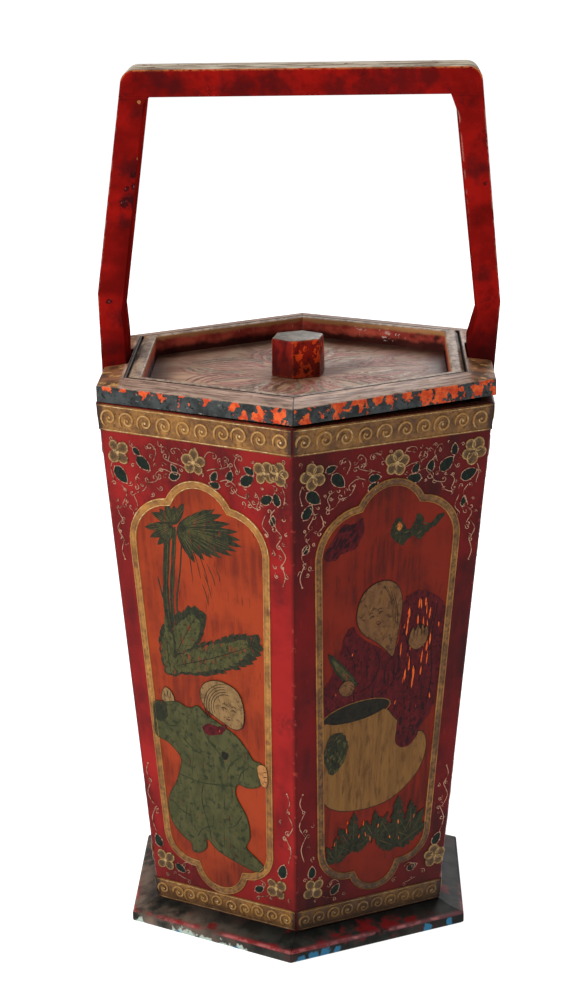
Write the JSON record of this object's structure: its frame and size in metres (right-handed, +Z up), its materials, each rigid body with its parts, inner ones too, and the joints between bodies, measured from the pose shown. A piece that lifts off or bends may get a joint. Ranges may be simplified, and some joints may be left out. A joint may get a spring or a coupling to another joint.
{
  "type": "lacquered wood bucket",
  "caption": "Hexagonal flared wooden bucket on a moulded base, with a fixed carrying handle and a lid with a tray top and knob that lifts along the handle's legs.",
  "frame": {"origin": "centre of the hexagonal base on its underside", "axes": "+Z up, +X from the handle's left leg to its right leg, the hexagon's front corner towards -Y"},
  "size_m": [0.289, 0.3233, 0.6273],
  "materials": {
    "painted_wall": "aged satin lacquer",
    "base_lacquer": "worn dark lacquer over red",
    "inner_wood": "matt",
    "handle_lacquer": "aged satin lacquer",
    "peg_wood": "satin",
    "lid_edge_lacquer": "chipped dark lacquer over orange",
    "lid_rim_lacquer": "worn satin lacquer",
    "lid_panel_lacquer": "worn satin lacquer",
    "knob_lacquer": "worn satin lacquer",
    "gilt_relief": "aged gilt on raised putty lines",
    "painted_scene": "aged painted lacquer"
  },
  "bodies": {
    "bucket": {"wall_right": "painted_wall", "wall_back_right": "painted_wall", "wall_back_left": "painted_wall", "wall_left": "painted_wall", "wall_front_left": "painted_wall", "wall_front_right": "painted_wall", "base_rail_right": "base_lacquer", "base_rail_back_right": "base_lacquer", "base_rail_back_left": "base_lacquer", "base_rail_left": "base_lacquer", "base_rail_front_left": "base_lacquer", "base_rail_front_right": "base_lacquer", "floor_board": "inner_wood", "handle_bar": "handle_lacquer", "handle_leg_left": "handle_lacquer", "handle_leg_right": "handle_lacquer", "corner_peg_left": "peg_wood", "corner_peg_right": "peg_wood", "leg_peg_left_upper": "peg_wood", "leg_peg_left_lower": "peg_wood", "leg_peg_right_upper": "peg_wood", "leg_peg_right_lower": "peg_wood"},
    "lid": {"lid_rail_right": "lid_edge_lacquer", "lid_rail_back_right": "lid_edge_lacquer", "lid_rail_back_left": "lid_edge_lacquer", "lid_rail_left": "lid_edge_lacquer", "lid_rail_front_left": "lid_edge_lacquer", "lid_rail_front_right": "lid_edge_lacquer", "lid_rim_right": "lid_rim_lacquer", "lid_rim_back_right": "lid_rim_lacquer", "lid_rim_back_left": "lid_rim_lacquer", "lid_rim_left": "lid_rim_lacquer", "lid_rim_front_left": "lid_rim_lacquer", "lid_rim_front_right": "lid_rim_lacquer", "lid_panel": "lid_panel_lacquer", "lid_knob": "knob_lacquer"}
  },
  "joints": [
    {"name": "lid_lift", "type": "slide", "parent": "bucket", "child": "lid", "axis": [0.0175, 0, 0.9998], "range_m": [0, 0.075]}
  ]
}
